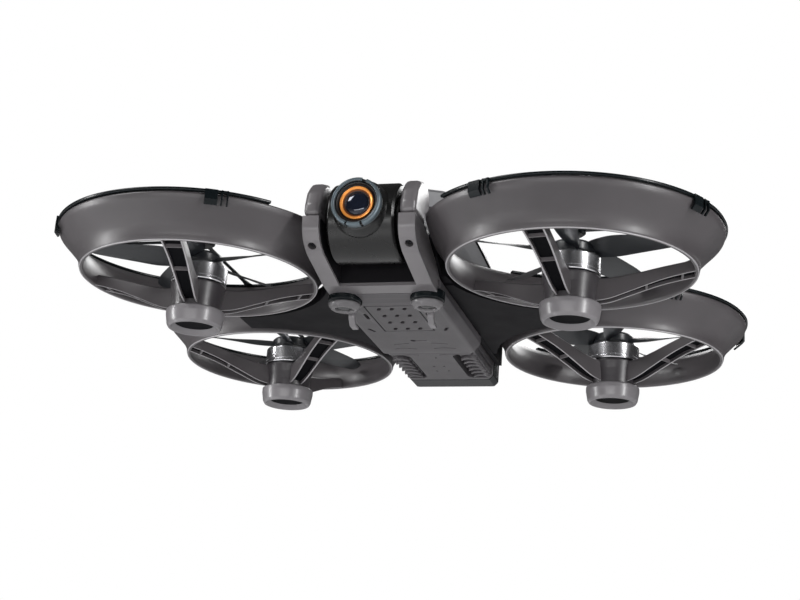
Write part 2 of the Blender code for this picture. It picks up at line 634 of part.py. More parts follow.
def main():
    clear_scene()
    grey = material("shell_grey", (0.105, 0.098, 0.104), 0.42)
    black = material("frame_black", (0.012, 0.011, 0.013), 0.55)
    rubber = material("foot_rubber", (0.17, 0.165, 0.175), 0.5)
    metal = material("motor_metal", (0.30, 0.30, 0.31), 0.28, 1.0)
    dark_metal = material("dark_metal", (0.05, 0.05, 0.055), 0.35, 1.0)
    propeller = material("propeller_smoke", (0.02, 0.022, 0.026), 0.35)
    glass = material("lens_glass", (0.01, 0.012, 0.018), 0.05, 0.0, 0.6)
    accent = material("accent_orange", (0.85, 0.38, 0.09), 0.3, 0.6)
    board = material("circuit_green", (0.01, 0.08, 0.04), 0.5)
    for corner in CORNERS:
        make_duct(corner, grey)
        make_foot(corner, rubber)
        make_guard(corner, black)
        make_stator(corner, dark_metal)
        make_bell(corner, metal)
        make_propeller(corner, propeller)
    make_mid_frame(black)
    make_belly(grey)
    make_vent_panel(grey)
    make_top_shell(grey)
    make_yoke(grey)
    make_camera(
        {"drum": black, "barrel": black, "bezel": metal, "accent": accent, "glass": glass, "board": board}
    )
    for side, label in ((-1, "left"), (1, "right")):
        make_yoke_cap(side, label, grey)
        make_sensor(side, label, grey, glass)
        make_skid_fin(side, label, grey)
        make_pivot(side, label, dark_metal)
        make_yoke_screw(side, label, dark_metal)
    make_battery({"pack": grey, "latch": grey, "button": dark_metal})
    make_electronics({"board": board, "metal": metal, "fan": black, "connector": black})
    place_origins()


main()
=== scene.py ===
"""Looks for a ducted FPV racing drone: fine meshes, materials, studio light and the camera.

Lengths are in millimetres. The nose points to -Y, and Z is up from the soles of the feet.
"""

import math

import bmesh
import bpy
from mathutils import Matrix, Vector


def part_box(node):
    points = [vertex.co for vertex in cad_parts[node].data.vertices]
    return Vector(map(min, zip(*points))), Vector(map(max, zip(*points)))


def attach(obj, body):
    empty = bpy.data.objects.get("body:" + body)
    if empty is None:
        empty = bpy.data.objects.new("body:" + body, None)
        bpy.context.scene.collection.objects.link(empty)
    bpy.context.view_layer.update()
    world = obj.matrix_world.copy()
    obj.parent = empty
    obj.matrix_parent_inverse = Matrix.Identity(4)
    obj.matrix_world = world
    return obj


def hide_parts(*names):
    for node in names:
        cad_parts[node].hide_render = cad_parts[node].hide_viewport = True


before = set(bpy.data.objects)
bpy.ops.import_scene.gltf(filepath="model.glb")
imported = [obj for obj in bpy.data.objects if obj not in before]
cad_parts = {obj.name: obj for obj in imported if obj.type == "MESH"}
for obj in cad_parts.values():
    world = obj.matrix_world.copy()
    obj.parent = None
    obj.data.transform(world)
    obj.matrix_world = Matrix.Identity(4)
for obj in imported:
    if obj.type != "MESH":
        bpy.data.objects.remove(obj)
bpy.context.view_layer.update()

MM = 0.001
CORNERS = {  # name: (side, end), where side +1 is +X and end -1 is the nose
    "front_left": (-1, -1),
    "front_right": (1, -1),
    "rear_left": (-1, 1),
    "rear_right": (1, 1),
}
SIDES = {"left": -1, "right": 1}
DUCT_H = 13.7
DUCT_TRIM_X = 20.4  # where the ducts are cut off beside the fuselage
GUARD_LOW, GUARD_HIGH = DUCT_H + 0.3, DUCT_H + 1.3
ROUND = 144  # facets round a duct
BLADES = 5
BLADE_Z = 7.1  # mid-height of the blades above the ducts' underside
FORK_SCREW = (16.4, -76.0, 2.2)  # x, y and height above the ducts' underside
FORK_SCREW_TILT = -40
FLOOR_Z = -0.3  # metres: under the camera, which looks up at the drone
STRUT_ANGLES = {-1: (-98, 8, 150), 1: (-130, -30, 100)}
CLIP_ANGLES = {-1: (-116, -29, 58), 1: (-58, 23, 116)}
GUARD_ARC = {-1: (-137, 125), 1: (-125, 137)}
SPOKE_ANGLES = (0, 90, 270)


def box_mm(node):
    low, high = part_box(node)
    return Vector(low) / MM, Vector(high) / MM


def middle(node):
    low, high = box_mm(node)
    return (low + high) / 2


RIM_Z = box_mm("duct_front_left")[1].z - DUCT_H  # underside of the ducts
HUBS = {corner: middle(f"motor_bell_{corner}").xy for corner in CORNERS}
TILT = middle("camera_pivot_left")
TILT_Y, TILT_Z = TILT.y, TILT.z
LENS_Z = middle("lens_glass").z
LENS_FRONT = TILT_Y - box_mm("lens_bezel")[0].y  # from the tilt axis to the bezel's front
DRUM_R = box_mm("camera_drum")[1].z - TILT_Z
DRUM_HALF_W = box_mm("camera_drum")[1].x
ARM_IN, ARM_OUT = box_mm("yoke_cap_right")[0].x, box_mm("yoke_cap_right")[1].x
SEAM_Z = box_mm("front_yoke")[1].z
NOSE_Y = box_mm("top_shell")[0].y
TAIL_Y = box_mm("top_shell")[1].y
BATTERY_LOW, BATTERY_HIGH = box_mm("battery_pack")
BELLY_BACK_Y = box_mm("belly_shell")[1].y
SENSOR = middle("sensor_lens_right")


# ---- materials ------------------------------------------------------------------------------
def surface(
    name,
    color,
    roughness,
    metallic=0.0,
    grain=0.0,
    tone=0.12,
    edge_highlight=0.0,
    coat=0.0,
    scale=1.0,
    shine=0.5,
):
    """A moulded or metal surface: cloudy tone, uneven gloss, fine grain, and pale edges that are a
    painted highlight.
    """
    mat = bpy.data.materials.new(name)
    mat.use_nodes = True
    nodes, links = mat.node_tree.nodes, mat.node_tree.links
    shader = nodes["Principled BSDF"]
    shader.inputs["Metallic"].default_value = metallic
    shader.inputs["Specular IOR Level"].default_value = shine
    shader.inputs["Coat Weight"].default_value = coat
    shader.inputs["Coat Roughness"].default_value = 0.18
    place = nodes.new("ShaderNodeTexCoord")

    cloud = nodes.new("ShaderNodeTexNoise")
    cloud.inputs["Scale"].default_value = 38 * scale
    cloud.inputs["Detail"].default_value = 5
    links.new(place.outputs["Object"], cloud.inputs["Vector"])
    ramp = nodes.new("ShaderNodeValToRGB")
    dark = [c * (1 - tone) for c in color]
    light = [min(1.0, c * (1 + tone)) for c in color]
    ramp.color_ramp.elements[0].position = 0.3
    ramp.color_ramp.elements[1].position = 0.7
    ramp.color_ramp.elements[0].color = (*dark, 1)
    ramp.color_ramp.elements[1].color = (*light, 1)
    links.new(cloud.outputs["Fac"], ramp.inputs["Fac"])
    base = ramp.outputs["Color"]

    # Paler colour on sharp edges, found by pointiness: a painted highlight along the edges.
    if edge_highlight:
        geometry = nodes.new("ShaderNodeNewGeometry")
        edge = nodes.new("ShaderNodeMapRange")
        edge.inputs["From Min"].default_value = 0.53
        edge.inputs["From Max"].default_value = 0.62
        edge.inputs["To Max"].default_value = edge_highlight
        links.new(geometry.outputs["Pointiness"], edge.inputs["Value"])
        mix = nodes.new("ShaderNodeMix")
        mix.data_type = "RGBA"
        pale = [min(1.0, c * 2.2 + 0.03) for c in color]
        mix.inputs["B"].default_value = (*pale, 1)
        links.new(edge.outputs["Result"], mix.inputs["Factor"])
        links.new(base, mix.inputs["A"])
        base = mix.outputs["Result"]
    links.new(base, shader.inputs["Base Color"])

    smudge = nodes.new("ShaderNodeTexNoise")
    smudge.inputs["Scale"].default_value = 95 * scale
    smudge.inputs["Detail"].default_value = 4
    links.new(place.outputs["Object"], smudge.inputs["Vector"])
    gloss = nodes.new("ShaderNodeMapRange")
    gloss.inputs["To Min"].default_value = roughness * 0.82
    gloss.inputs["To Max"].default_value = min(1.0, roughness * 1.2)
    links.new(smudge.outputs["Fac"], gloss.inputs["Value"])
    links.new(gloss.outputs["Result"], shader.inputs["Roughness"])

    if grain:
        speckle = nodes.new("ShaderNodeTexNoise")
        speckle.inputs["Scale"].default_value = 2600 * scale
        speckle.inputs["Detail"].default_value = 2
        links.new(place.outputs["Object"], speckle.inputs["Vector"])
        bump = nodes.new("ShaderNodeBump")
        bump.inputs["Strength"].default_value = grain
        bump.inputs["Distance"].default_value = 0.00008
        links.new(speckle.outputs["Fac"], bump.inputs["Height"])
        links.new(bump.outputs["Normal"], shader.inputs["Normal"])
    return mat


def turned_metal(name, color, roughness):
    """Turned metal: fine lines round the Z axis, as a lathe leaves on a motor's can."""
    mat = surface(name, color, roughness, metallic=1.0, tone=0.08)
    nodes, links = mat.node_tree.nodes, mat.node_tree.links
    place = nodes.new("ShaderNodeTexCoord")
    stretch = nodes.new("ShaderNodeMapping")
    stretch.inputs["Scale"].default_value = (12, 12, 1500)
    links.new(place.outputs["Object"], stretch.inputs["Vector"])
    lines = nodes.new("ShaderNodeTexNoise")
    lines.inputs["Scale"].default_value = 1.0
    lines.inputs["Detail"].default_value = 2
    links.new(stretch.outputs["Vector"], lines.inputs["Vector"])
    bump = nodes.new("ShaderNodeBump")
    bump.inputs["Strength"].default_value = 0.03
    bump.inputs["Distance"].default_value = 0.00001
    links.new(lines.outputs["Fac"], bump.inputs["Height"])
    links.new(bump.outputs["Normal"], nodes["Principled BSDF"].inputs["Normal"])
    return mat


def smoked(name, color, roughness, alpha):
    mat = surface(name, color, roughness, tone=0.05)
    mat.node_tree.nodes["Principled BSDF"].inputs["Alpha"].default_value = alpha
    return mat


def coated_glass(name):
    """Dark lens glass under a blue-violet coating."""
    mat = surface(name, (0.006, 0.008, 0.014), 0.05, tone=0.3, coat=0.35)
    shader = mat.node_tree.nodes["Principled BSDF"]
    shader.inputs["Coat Roughness"].default_value = 0.02
    shader.inputs["Coat Tint"].default_value = (0.55, 0.65, 1.0, 1)
    shader.inputs["Specular IOR Level"].default_value = 0.5
    return mat


def circuit_board(name):
    """Solder mask with paler copper areas under it."""
    mat = surface(name, (0.008, 0.07, 0.035), 0.38, tone=0.2)
    nodes, links = mat.node_tree.nodes, mat.node_tree.links
    place = nodes.new("ShaderNodeTexCoord")
    cells = nodes.new("ShaderNodeTexVoronoi")
    cells.inputs["Scale"].default_value = 520
    cells.distance = "CHEBYCHEV"
    links.new(place.outputs["Object"], cells.inputs["Vector"])
    bump = nodes.new("ShaderNodeBump")
    bump.inputs["Strength"].default_value = 0.4
    bump.inputs["Distance"].default_value = 0.0001
    links.new(cells.outputs["Distance"], bump.inputs["Height"])
    links.new(bump.outputs["Normal"], nodes["Principled BSDF"].inputs["Normal"])
    return mat


M = {
    "shell_grey": surface(
        "shell_grey", (0.052, 0.047, 0.050), 0.4, grain=0.1, edge_highlight=0.35, coat=0.06
    ),
    "belly_grey": surface("belly_grey", (0.058, 0.054, 0.058), 0.42, grain=0.3, edge_highlight=0.3),
    "cap_grey": surface("cap_grey", (0.115, 0.108, 0.113), 0.33, grain=0.2, edge_highlight=0.3, coat=0.2),
    "cover_grey": surface("cover_grey", (0.27, 0.27, 0.28), 0.38, grain=0.15, edge_highlight=0.15, tone=0.06),
    "frame_black": surface(
        "frame_black", (0.0055, 0.005, 0.0062), 0.6, grain=0.5, edge_highlight=0.05, shine=0.08
    ),
    # Near-black for the strut channels, the sole hollows and behind the vent slots: painted shade.
    "shade_black": surface("shade_black", (0.004, 0.004, 0.005), 0.6, grain=0.4, shine=0.03),
    "guard_black": surface("guard_black", (0.0035, 0.0055, 0.0065), 0.25, grain=0.05, shine=0.2),
    "sensor_grey": surface("sensor_grey", (0.12, 0.115, 0.12), 0.2, edge_highlight=0.2),
    # Pale grey for the duct rim beads and the strut lips: a painted highlight on their edges.
    "highlight_grey": surface("highlight_grey", (0.30, 0.29, 0.30), 0.3),
    "cup_grey": surface("cup_grey", (0.03, 0.027, 0.03), 0.34, grain=0.2),
    "foot_grey": surface("foot_grey", (0.15, 0.143, 0.15), 0.33, grain=0.2, edge_highlight=0.2, coat=0.2),
    "motor_metal": turned_metal("motor_metal", (0.66, 0.66, 0.68), 0.24),
    "dark_metal": turned_metal("dark_metal", (0.05, 0.05, 0.055), 0.35),
    "propeller_smoke": smoked("propeller_smoke", (0.012, 0.014, 0.017), 0.3, 0.9),
    "camera_black": surface("camera_black", (0.005, 0.005, 0.005), 0.27, grain=0.04, shine=0.45),
    "lens_black": surface("lens_black", (0.004, 0.004, 0.005), 0.35, grain=0.3),
    "bezel_steel": surface("bezel_steel", (0.12, 0.15, 0.17), 0.3, metallic=0.6, grain=0.2),
    "accent_orange": surface("accent_orange", (0.80, 0.30, 0.06), 0.3, metallic=0.5, tone=0.06),
    # Dark brown for the inner band of the lens's orange ring: painted shade.
    "accent_shade_brown": surface("accent_shade_brown", (0.16, 0.05, 0.015), 0.35, metallic=0.5),
    "lens_glass": coated_glass("lens_glass"),
    "sensor_glass": surface("sensor_glass", (0.004, 0.004, 0.005), 0.12),
    "board_green": circuit_board("board_green"),
    "sink_metal": surface("sink_metal", (0.45, 0.45, 0.46), 0.35, metallic=1.0, grain=0.2),
    "copper": surface("copper", (0.5, 0.2, 0.09), 0.35, metallic=1.0, grain=0.3),
}


# ---- mesh helpers ---------------------------------------------------------------------------
def fillet(points, radius, segments=4, closed=True):
    """The outline with each corner rounded to at most the given radius (one for all, or a list)."""
    count = len(points)
    radii = radius if isinstance(radius, (list, tuple)) else [radius] * count
    made = []
    for i, point in enumerate(points):
        corner = Vector(point)
        if radii[i] <= 0 or (not closed and i in (0, count - 1)):
            made.append(tuple(corner))
            continue
        before = Vector(points[i - 1]) - corner
        after = Vector(points[(i + 1) % count]) - corner
        half = before.angle(after) / 2
        reach = min(radii[i] / math.tan(half), before.length * 0.48, after.length * 0.48)
        start = corner + before.normalized() * reach
        end = corner + after.normalized() * reach
        for step in range(segments + 1):
            t = step / segments
            made.append(tuple(start * (1 - t) ** 2 + corner * 2 * t * (1 - t) + end * t * t))
    return made


def smooth_line(points, per_span=5):
    """A Catmull-Rom line through the points."""
    found = [Vector(p) for p in points]
    ends = [found[0] * 2 - found[1]] + found + [found[-1] * 2 - found[-2]]
    made = []
    for a, b, c, d in zip(ends, ends[1:], ends[2:], ends[3:]):
        for step in range(per_span):
            t = step / per_span
            curve = b * 2 + (c - a) * t + (a * 2 - b * 5 + c * 4 - d) * t**2
            made.append(tuple((curve + (b * 3 - a - c * 3 + d) * t**3) / 2))
    return made + [tuple(found[-1])]


def loft(sections, close_ends=True):
    """A skin through rings of as many 3-D points each."""
    bm = bmesh.new()
    rings = [[bm.verts.new(point) for point in section] for section in sections]
    for first, second in zip(rings, rings[1:]):
        for i in range(len(first)):
            j = (i + 1) % len(first)
            bm.faces.new((first[i], first[j], second[j], second[i]))
    if close_ends:
        bm.faces.new(rings[0][::-1])
        bm.faces.new(rings[-1])
    return bm


def prism(outline, low, high, axis="Z"):
    place = {
        "Z": lambda a, b, c: (a, b, c),
        "X": lambda a, b, c: (c, a, b),
        "Y": lambda a, b, c: (a, c, b),
    }[axis]
    return loft([[place(a, b, level) for a, b in outline] for level in (low, high)])


def box(x, y, z):
    return prism([(x[0], y[0]), (x[1], y[0]), (x[1], y[1]), (x[0], y[1])], z[0], z[1])


def slot_outline(length, width, segments=6):
    """A rounded slot along Y, centred on the origin."""
    straight = (length - width) / 2
    made = []
    for end in (1, -1):
        for step in range(segments + 1):
            angle = math.pi * step / segments + (0 if end > 0 else math.pi)
            made.append((math.cos(angle) * width / 2, math.sin(angle) * width / 2 + end * straight))
    return made


def lathe(profile, steps, start=0.0, sweep=360.0):
    """A closed (radius, height) profile turned about Z."""
    bm = bmesh.new()
    full = sweep >= 360
    count = steps if full else steps + 1
    rings = []
    for i in range(count):
        angle = math.radians(start + sweep * i / steps)
        turn = (math.cos(angle), math.sin(angle))
        rings.append([bm.verts.new((r * turn[0], r * turn[1], h)) for r, h in profile])
    pairs = list(zip(rings, rings[1:] + rings[:1])) if full else list(zip(rings, rings[1:]))
    for first, second in pairs:
        for i in range(len(profile)):
            j = (i + 1) % len(profile)
            if profile[i][0] < 1e-6 and profile[j][0] < 1e-6:
                continue
            bm.faces.new((first[i], second[i], second[j], first[j]))
    if not full:
        bm.faces.new(rings[0])
        bm.faces.new(rings[-1][::-1])
    bmesh.ops.remove_doubles(bm, verts=bm.verts, dist=1e-5)
    return bm


def moved(bm, offset=(0, 0, 0), turn=None):
    if turn:
        axis, degrees = turn
        matrix = Matrix.Rotation(math.radians(degrees), 3, axis)
        bmesh.ops.rotate(bm, matrix=matrix, verts=bm.verts)
    bmesh.ops.translate(bm, vec=offset, verts=bm.verts)
    return bm


def merged(parts):
    """One bmesh that holds all the given ones."""
    whole = bmesh.new()
    for part in parts:
        mesh = bpy.data.meshes.new("part")
        part.to_mesh(mesh)
        part.free()
        whole.from_mesh(mesh)
        bpy.data.meshes.remove(mesh)
    return whole


def to_object(name, bm):
    bmesh.ops.remove_doubles(bm, verts=bm.verts, dist=1e-5)
    bmesh.ops.recalc_face_normals(bm, faces=bm.faces)
    bmesh.ops.scale(bm, vec=(MM, MM, MM), verts=bm.verts)
    mesh = bpy.data.meshes.new(name)
    bm.to_mesh(mesh)
    bm.free()
    obj = bpy.data.objects.new(name, mesh)
    bpy.context.scene.collection.objects.link(obj)
    return obj


def piece(name, bm, body, mat, replaces=(), cuts=(), bevel=0.0, angle=32):
    """A finished piece: bevelled, cut, shaded, and riding on its body."""
    obj = to_object(name, bm)
    cutters = [to_object(f"{name}_cut", cut) for cut in cuts]
    if bevel:
        edges = obj.modifiers.new("edges", "BEVEL")
        edges.width = bevel * MM
        edges.segments = 3
        edges.limit_method = "ANGLE"
        edges.angle_limit = math.radians(35)
        edges.use_clamp_overlap = True
    for cutter in cutters:
        cut = obj.modifiers.new("cut", "BOOLEAN")
        cut.operation = "DIFFERENCE"
        cut.solver = "EXACT"
        cut.object = cutter
    if bevel or cutters:
        graph = bpy.context.evaluated_depsgraph_get()
        result = bpy.data.meshes.new_from_object(obj.evaluated_get(graph))
        obj.modifiers.clear()
        obj.data = result
    for cutter in cutters:
        bpy.data.objects.remove(cutter)
    obj.data.materials.clear()
    obj.data.materials.append(M[mat])
    obj.data.shade_smooth()
    obj.data.set_sharp_from_angle(angle=math.radians(angle))
    if bevel or cutters:
        weigh = obj.modifiers.new("normals", "WEIGHTED_NORMAL")
        weigh.keep_sharp = True
    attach(obj, body)
    if replaces:
        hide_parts(*replaces)
    return obj


def on_side(angles, side):
    """Angles given for the +X side, mirrored where side is -1."""
    return [angle if side > 0 else 180 - angle for angle in angles]


def at_hub(bm, corner, z=0.0):
    return moved(bm, (*HUBS[corner], RIM_Z + z))


# ---- ducts ----------------------------------------------------------------------------------
STRUT_LOW = [(7.6, -10.5), (13, -9.4), (20, -6.6), (29, -3.0), (36, -0.9), (40.4, 0.2)]
STRUT_HIGH = [(7.6, -2.7), (13, -2.4), (20, -1.0), (29, 1.4), (36, 3.1), (40.4, 4.1)]
STRUT_WALL = 0.75


def strut_stations():
    return list(zip(smooth_line(STRUT_LOW, 4), smooth_line(STRUT_HIGH, 4)))


def strut_half_width(radius):
    return 2.5 + 1.2 * (radius - 7.6) / (40.4 - 7.6)


def channel_strut():
    """A strut that is an open channel on its underside."""
    sections = []
    for (r, low), (_, high) in strut_stations():
        half = strut_half_width(r)
        inner = half - STRUT_WALL
        deep = low + (high - low) * 0.7
        outline = [(half, low), (half, high - 0.5), (half - 0.5, high), (0.5 - half, high)]
        outline += [(-half, high - 0.5), (-half, low), (-inner, low), (-inner, deep)]
        outline += [(inner, deep), (inner, low)]
        sections.append([(r, y, z) for y, z in outline])
    return loft(sections)


def channel_shade_liner():
    """A dark filling, set back from the open side: painted shade that makes a strut's channel look
    deep.
    """
    sections = []
    for (r, low), (_, high) in strut_stations():
        inner = strut_half_width(r) - STRUT_WALL + 0.02
        deep = low + min(1.1, (high - low) * 0.35)
        outline = ((-inner, deep), (inner, deep), (inner, high - 0.3), (-inner, high - 0.3))
        sections.append([(r, y, z) for y, z in outline])
    return loft(sections)


def strut_highlight(hand):
    """A pale strip along one side of a strut's channel: a painted highlight on its lip."""
    sections = []
    for (r, low), _ in strut_stations():
        outer = strut_half_width(r) - 0.1
        a, b = hand * (outer - 0.5), hand * outer
        under, over = low - 0.08, low + 0.1
        sections.append([(r, y, z) for y, z in ((a, under), (b, under), (b, over), (a, over))])
    return loft(sections)


def channel_rib(share):
    """A rib across a strut's channel, at this share of the way out."""
    stations = strut_stations()
    (r, low), (_, high) = stations[int(share * (len(stations) - 1))]
    inner = strut_half_width(r) - STRUT_WALL + 0.05
    return box((r - 0.35, r + 0.35), (-inner, inner), (low + 0.05, high - 0.4))


def fuselage_side(corner):
    """A cutter for what a duct would have inside the fuselage."""
    side, end = CORNERS[corner]
    inside = sorted((0.0, side * DUCT_TRIM_X))
    return box(inside, sorted((0, end * 130)), (RIM_Z - 5, RIM_Z + 20))


def make_duct(corner):
    """The shroud ring with its pale rim bead, a painted highlight, the struts and the motor's cup.
    """
    side, end = CORNERS[corner]
    duct, grey = f"duct_{corner}", "shell_grey"
    outer = [(41.5, 0.5), (41.95, 2.6), (43.4, 5.2), (46.3, 8.4), (49.0, 11.2), (49.8, 12.9)]
    outer = smooth_line(outer)
    lip = fillet([(49.8, 13.2), (49.6, DUCT_H), (48.3, DUCT_H)], 0.4, closed=False)
    inner = [(47.6, 13.4), (45.2, 12.3), (41.6, 9.6), (39.9, 6.2), (39.6, 3.0), (39.9, 0.4)]
    inner = smooth_line(inner)
    foot = [(40.2, 0.0), (41.1, 0.0)]
    ring = at_hub(lathe(outer + lip + inner + foot, ROUND), corner)
    trim = [fuselage_side(corner)]
    piece(f"shroud_{corner}", ring, "airframe", grey, [duct], trim)

    turns = [math.pi / 5 * i for i in range(10)]
    # A pale bead round the duct's lower rim: a painted highlight on the edge.
    bead = [(41.1 + 0.24 * math.cos(a), 0.1 + 0.24 * math.sin(a)) for a in turns]
    bead = at_hub(lathe(bead, ROUND), corner)
    trim = [fuselage_side(corner)]
    piece(f"rim_bead_{corner}", bead, "airframe", "highlight_grey", cuts=trim)

    angles = on_side(STRUT_ANGLES[end], side)
    # Pale strips along the lips of the strut channels: painted highlight.
    edges = [moved(strut_highlight(hand), turn=("Z", angle)) for angle in angles for hand in (-1, 1)]
    edges = at_hub(merged(edges), corner)
    piece(f"strut_edges_{corner}", edges, "airframe", "highlight_grey")
    struts = merged([moved(channel_strut(), turn=("Z", angle)) for angle in angles])
    struts = at_hub(struts, corner)
    piece(f"struts_{corner}", struts, "airframe", grey, bevel=0.12)
    # Dark fillings in the strut channels: painted shade.
    liners = merged([moved(channel_shade_liner(), turn=("Z", angle)) for angle in angles])
    liners = at_hub(liners, corner)
    piece(f"strut_channels_{corner}", liners, "airframe", "shade_black")
    places = [(angle, share) for angle in angles for share in (0.5, 0.83)]
    ribs = [moved(channel_rib(share), turn=("Z", angle)) for angle, share in places]
    ribs = at_hub(merged(ribs), corner)
    piece(f"strut_ribs_{corner}", ribs, "airframe", grey)

    cup = [(0, -11.0), (8.5, -11.0), (8.65, -8.5), (9.0, -5.6)]
    cup += [(9.55, -2.9), (9.6, -2.3), (8.9, -2.2), (0, -2.4)]
    cup = lathe(fillet(cup, [0, 0.1, 1.5, 1.5, 0.5, 0.3, 0.3, 0]), 72)
    piece(f"motor_cup_{corner}", at_hub(cup, corner), "airframe", "cup_grey")


def make_foot(corner):
    outline = [(0, 1.9), (6.8, 1.9), (8.3, 0), (8.9, 0), (9.5, 1.0), (10.1, 4.4)]
    outline += [(10.1, 5.9), (9.5, 6.3), (0, 6.3)]
    outline = fillet(outline, [0, 0.3, 0.25, 0.4, 1.0, 1.5, 0.4, 0.4, 0])
    foot = moved(lathe(outline, 96), (*HUBS[corner], 0))
    piece(f"sole_{corner}", foot, "airframe", "foot_grey", [f"foot_{corner}"])
    # A near-black disc in the sole's hollow: painted shade.
    dish = moved(lathe([(0, 1.75), (6.6, 1.75), (6.8, 1.9), (0, 1.9)], 72), (*HUBS[corner], 0))
    piece(f"sole_dish_{corner}", dish, "airframe", "shade_black")


def make_guard(corner):
    """The clip-on hoop with its spokes, boss and clips."""
    side, end = CORNERS[corner]
    low, high = GUARD_LOW, GUARD_HIGH
    start, stop = GUARD_ARC[end]
    if side < 0:
        start, stop = 180 - stop, 180 - start
    section = fillet([(48.2, low), (50.4, low), (50.4, high), (48.2, high)], 0.4)
    parts = [lathe(section, 120, start, stop - start)]
    for angle in on_side(SPOKE_ANGLES, side):
        sections = []
        for r, half in ((3.6, 1.1), (9, 0.75), (26, 0.65), (42, 0.75), (47, 1.2), (49, 2.0)):
            under, over = low + 0.1, high - 0.1
            ring = [(-half, under), (half, under), (half, over), (-half, over)]
            sections.append([(r, y, z) for y, z in fillet(ring, 0.25)])
        parts.append(moved(loft(sections), turn=("Z", angle)))
    boss = [(0, low - 1.2), (3.6, low - 1.2), (4.4, low - 0.5), (4.4, high)]
    boss += [(3.4, high + 0.1), (0, high + 0.1)]
    parts.append(lathe(fillet(boss, 0.4), 48))
    for angle in on_side(CLIP_ANGLES[end], side):
        tab = [(48.9, 10.2), (50.15, 11.6), (50.15, high - 0.1), (50.9, high - 0.1)]
        tab += [(50.9, 11.4), (49.6, 9.8)]
        for centre, half in ((-1.7, 2.1), (1.75, 0.28), (3.6, 0.28)):
            clip = prism(fillet(tab, 0.25, 3), centre - half, centre + half, "Y")
            parts.append(moved(clip, turn=("Z", angle)))
        bridge = [(49.9, high - 1.1), (50.9, high - 1.1), (50.9, high - 0.2), (49.9, high - 0.2)]
        parts.append(moved(prism(fillet(bridge, 0.2, 3), 1.5, 3.8, "Y"), turn=("Z", angle)))
    guard = at_hub(merged(parts), corner)
    name, nodes = f"finger_guard_{corner}", [f"guard_{corner}"]
    piece(name, guard, "airframe", "guard_black", nodes)


# ---- motors and propellers ------------------------------------------------------------------
def make_motor(corner):
    """The turning can with its cooling windows, the shaft, and the fixed windings."""
    body = f"rotor_{corner}"
    can = [(8.9, -1.8), (9.45, -1.8), (9.65, -1.5), (9.65, -0.75), (9.5, -0.65), (9.5, -0.5)]
    can += [(9.65, -0.4), (9.65, 4.1), (9.3, 4.7), (8.5, 5.0), (0, 5.0), (0, 4.3), (8.6, 4.0)]
    can = fillet(can, [0.1, 0.15, 0.2, 0.05, 0, 0, 0.05, 0.3, 0.3, 0.3, 0, 0, 0.3])
    can = at_hub(lathe(can, 96), corner)
    windows = []
    for index in range(6):
        window = prism(slot_outline(3.6, 2.2), RIM_Z + 3, RIM_Z + 7)
        moved(window, (0, 6.4, 0))
        windows.append(moved(moved(window, turn=("Z", 60 * index)), (*HUBS[corner], 0)))
    name, nodes = f"motor_can_{corner}", [f"motor_bell_{corner}"]
    piece(name, can, body, "motor_metal", nodes, windows)
    shaft = fillet([(0, 4.9), (2.6, 4.9), (2.6, 5.5), (0, 5.5)], [0, 0.1, 0.2, 0])
    shaft = at_hub(lathe(shaft, 36), corner)
    piece(f"motor_shaft_{corner}", shaft, body, "dark_metal")

    coils = []
    for index in range(9):
        coil = box((4.0, 7.4), (-1.1, 1.1), (-1.4, 3.2))
        coils.append(moved(coil, turn=("Z", 40 * index)))
    coils = at_hub(merged(coils), corner)
    piece(f"windings_{corner}", coils, "airframe", "copper", bevel=0.4)


def blade(angle, hand):
    """One aerofoil blade, lofted outward and twisted."""
    stations = [  # radius, chord, pitch in degrees, sweep of the mid-chord
        (6.0, 6.0, 34, 0.0), (9.0, 7.6, 32, 0.5), (15.0, 9.4, 28, 0.9), (22.0, 9.2, 22, 1.0),
        (30.0, 8.2, 17, 0.8), (35.0, 6.6, 14, 0.1), (37.2, 4.8, 13, -0.7), (38.1, 2.6, 13, -1.4),
    ]
    aerofoil = [(-0.5, 0), (-0.42, 0.3), (-0.2, 0.52), (0.1, 0.45), (0.34, 0.2), (0.5, 0)]
    aerofoil += [(0.3, -0.1), (0.0, -0.18), (-0.3, -0.22), (-0.45, -0.16)]
    line = smooth_line([(r, chord, pitch) for r, chord, pitch, _ in stations], 4)
    bend = smooth_line([(r, sweep) for r, _, _, sweep in stations], 4)
    sections = []
    for (r, chord, pitch), (_, sweep) in zip(line, bend):
        tilt = math.radians(pitch) * hand
        thick = 1.0 - 0.4 * r / 38
        ring = []
        for u, v in aerofoil:
            along, up = u * chord, v * thick
            y = along * math.cos(tilt) - up * math.sin(tilt) + sweep * hand
            ring.append((r, y, along * math.sin(tilt) + up * math.cos(tilt) + BLADE_Z))
        sections.append(ring)
    return moved(loft(sections), turn=("Z", angle))


def make_propeller(corner):
    side, end = CORNERS[corner]
    hub = [(0, 5.6), (7.4, 5.6), (7.6, 6.0), (7.6, 8.3), (6.8, 9.2)]
    hub += [(3.4, 9.6), (3.4, 9.3), (0, 9.3)]
    hub = fillet(hub, [0, 0.2, 0.2, 0.6, 0.8, 0.1, 0, 0])
    angles = [60 + 360 // BLADES * index for index in range(BLADES)]
    parts = [blade(angle, side * end) for angle in angles] + [lathe(hub, 60)]
    whole = at_hub(merged(parts), corner)
    body = f"rotor_{corner}"
    name, nodes = f"blades_{corner}", [f"propeller_{corner}"]
    piece(name, whole, body, "propeller_smoke", nodes, angle=50)
    turns = [math.pi / 3 * i for i in range(6)]
    nut = prism([(math.cos(a) * 2.7, math.sin(a) * 2.7) for a in turns], 9.2, 9.95)
    nut = at_hub(nut, corner)
    piece(f"prop_nut_{corner}", nut, body, "dark_metal", bevel=0.15)


